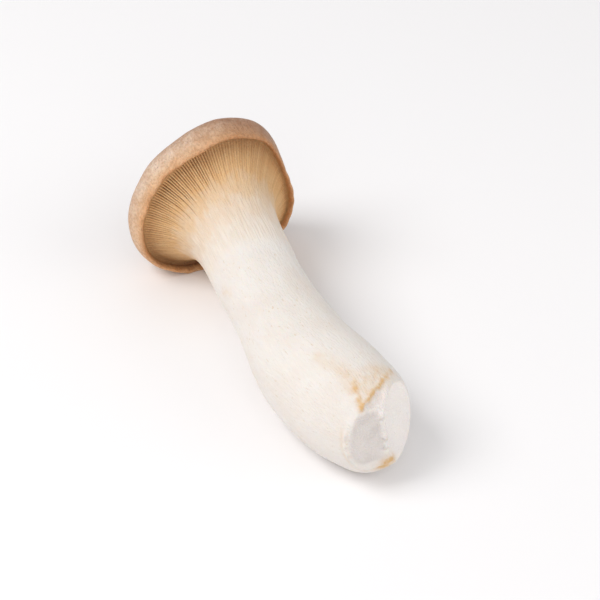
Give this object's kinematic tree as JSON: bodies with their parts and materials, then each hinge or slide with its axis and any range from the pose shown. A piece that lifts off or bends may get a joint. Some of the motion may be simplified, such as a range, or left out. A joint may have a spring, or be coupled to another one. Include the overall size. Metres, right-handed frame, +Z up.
{
  "type": "king oyster mushroom",
  "caption": "Whole fresh king oyster mushroom lying on its side: a thick pale curved stem with a torn base, and a low tan cap with fine gills running down onto the stem.",
  "frame": {"origin": "centre of the bounding box of the footprint, on the table the mushroom lies on", "axes": "+Z up; +X runs from the cap towards the torn base of the stem, along the longest extent; +Y across the stem"},
  "size_m": [0.1498, 0.0604, 0.0566],
  "materials": {
    "mushroom_flesh": null
  },
  "bodies": {
    "root": {"king_oyster_mushroom": "mushroom_flesh"}
  },
  "joints": []
}
